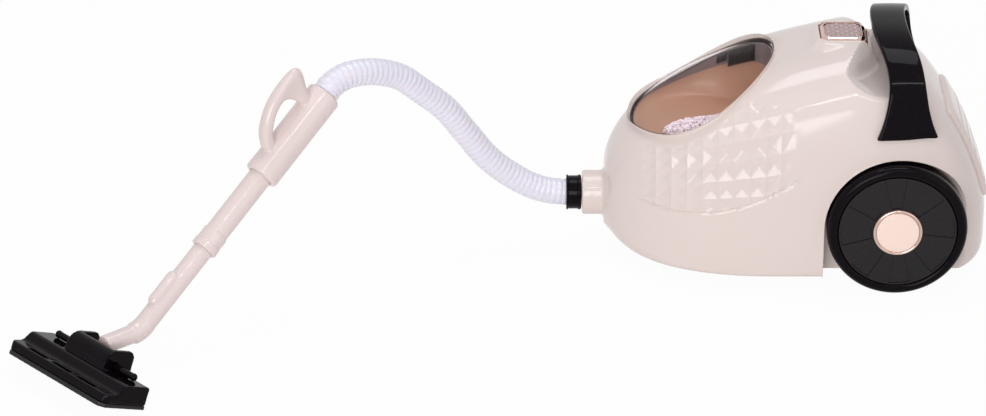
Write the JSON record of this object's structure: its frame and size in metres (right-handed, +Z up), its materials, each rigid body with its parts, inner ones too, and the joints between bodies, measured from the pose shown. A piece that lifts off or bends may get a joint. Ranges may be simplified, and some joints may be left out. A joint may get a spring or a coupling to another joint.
{
  "type": "toy vacuum cleaner",
  "caption": "Toy canister vacuum cleaner: faceted rounded body with smoked bead window and strap handle, big rear wheels, ribbed hose, sliding wand with loop grip and tilting floor nozzle",
  "frame": {"origin": "floor point under the middle of the box round the canister, wand and nozzle, hose left out", "axes": "+X from the nozzle to the back of the canister, +Y to the far side of the canister, +Z up"},
  "size_m": [0.6088, 0.3224, 0.1603],
  "materials": {
    "cream": "glossy moulded plastic",
    "smoked": "smoked clear plastic",
    "seal": "matte seal",
    "tray": "matte moulded plastic",
    "bead": "foam bead",
    "black_gloss": "glossy moulded plastic",
    "black_satin": "satin moulded plastic",
    "rose_gold": "plated plastic",
    "steel": "bright steel",
    "inner_plastic": "plain moulding",
    "battery": "printed sleeve, plain",
    "hose_white": "soft ribbed plastic"
  },
  "bodies": {
    "canister": {"upper_shell": "cream", "lower_shell": "cream", "window": "smoked", "window_seal": "seal", "bead_tray": "tray", "beads": "bead", "carry_handle": "black_gloss", "rear_panel": "cream", "hose_inlet": "cream", "push_switch": "black_satin", "motor": "steel", "motor_bracket": "inner_plastic", "bracket_screws": "steel", "batteries": "battery", "battery_contacts": "steel", "battery_door": "black_satin", "door_screw": "steel", "shell_screws": "steel", "rear_axle": "steel", "axle_bushes": "inner_plastic", "axle_clips": "steel", "caster_socket": "black_satin", "button_spring": "steel"},
    "button": {"power_button": "rose_gold"},
    "fan": {"impeller": "inner_plastic", "motor_shaft": "steel"},
    "wheel_left": {"wheel_left_rim": "black_gloss", "wheel_left_disc": "black_satin", "wheel_left_cap": "rose_gold"},
    "wheel_right": {"wheel_right_rim": "black_gloss", "wheel_right_disc": "black_satin", "wheel_right_cap": "rose_gold"},
    "caster": {"caster_fork": "black_satin", "caster_pin": "steel"},
    "roller": {"caster_roller": "black_satin"},
    "hose_and_grip": {"hose_cuff": "black_gloss", "hose": "hose_white", "wand_handle": "cream", "upper_tube": "cream", "tube_collar": "cream"},
    "lower_wand": {"lower_tube": "cream"},
    "nozzle": {"nozzle_top": "black_gloss", "nozzle_base": "black_satin", "nozzle_pin": "black_gloss", "nozzle_screws": "steel"}
  },
  "joints": [
    {"name": "power_press", "type": "slide", "parent": "canister", "child": "button", "axis": [0, 0, -1], "range_m": [0, 0.0025], "stiffness_N_per_m": 300, "springref_m": -0.002, "deforming": ["button_spring"]},
    {"name": "fan_spin", "type": "hinge", "parent": "canister", "child": "fan", "pos_m": [0.176, 0.084, 0.092], "axis": [1, 0, 0], "continuous": true},
    {"name": "wheel_left_spin", "type": "hinge", "parent": "canister", "child": "wheel_left", "pos_m": [0.242, 0.018, 0.044], "axis": [0, 1, 0], "continuous": true},
    {"name": "wheel_right_spin", "type": "hinge", "parent": "canister", "child": "wheel_right", "pos_m": [0.242, 0.15, 0.044], "axis": [0, 1, 0], "continuous": true},
    {"name": "caster_swivel", "type": "hinge", "parent": "canister", "child": "caster", "pos_m": [0.124, 0.084, 0.026], "axis": [0, 0, 1], "continuous": true},
    {"name": "caster_roll", "type": "hinge", "parent": "caster", "child": "roller", "pos_m": [0.131, 0.084, 0.008], "axis": [0, 1, 0], "continuous": true},
    {"name": "hose_swivel", "type": "hinge", "parent": "canister", "child": "hose_and_grip", "pos_m": [0.052, 0.084, 0.0355], "axis": [1, 0, 0], "continuous": true},
    {"name": "wand_telescope", "type": "slide", "parent": "hose_and_grip", "child": "lower_wand", "axis": [-0.5935, -0.5344, -0.6018], "range_m": [-0.018, 0.02]},
    {"name": "nozzle_pivot", "type": "hinge", "parent": "lower_wand", "child": "nozzle", "pos_m": [-0.25, -0.106, 0.0178], "axis": [0.6691, -0.7431, 0], "range_deg": [-8, 25]}
  ]
}
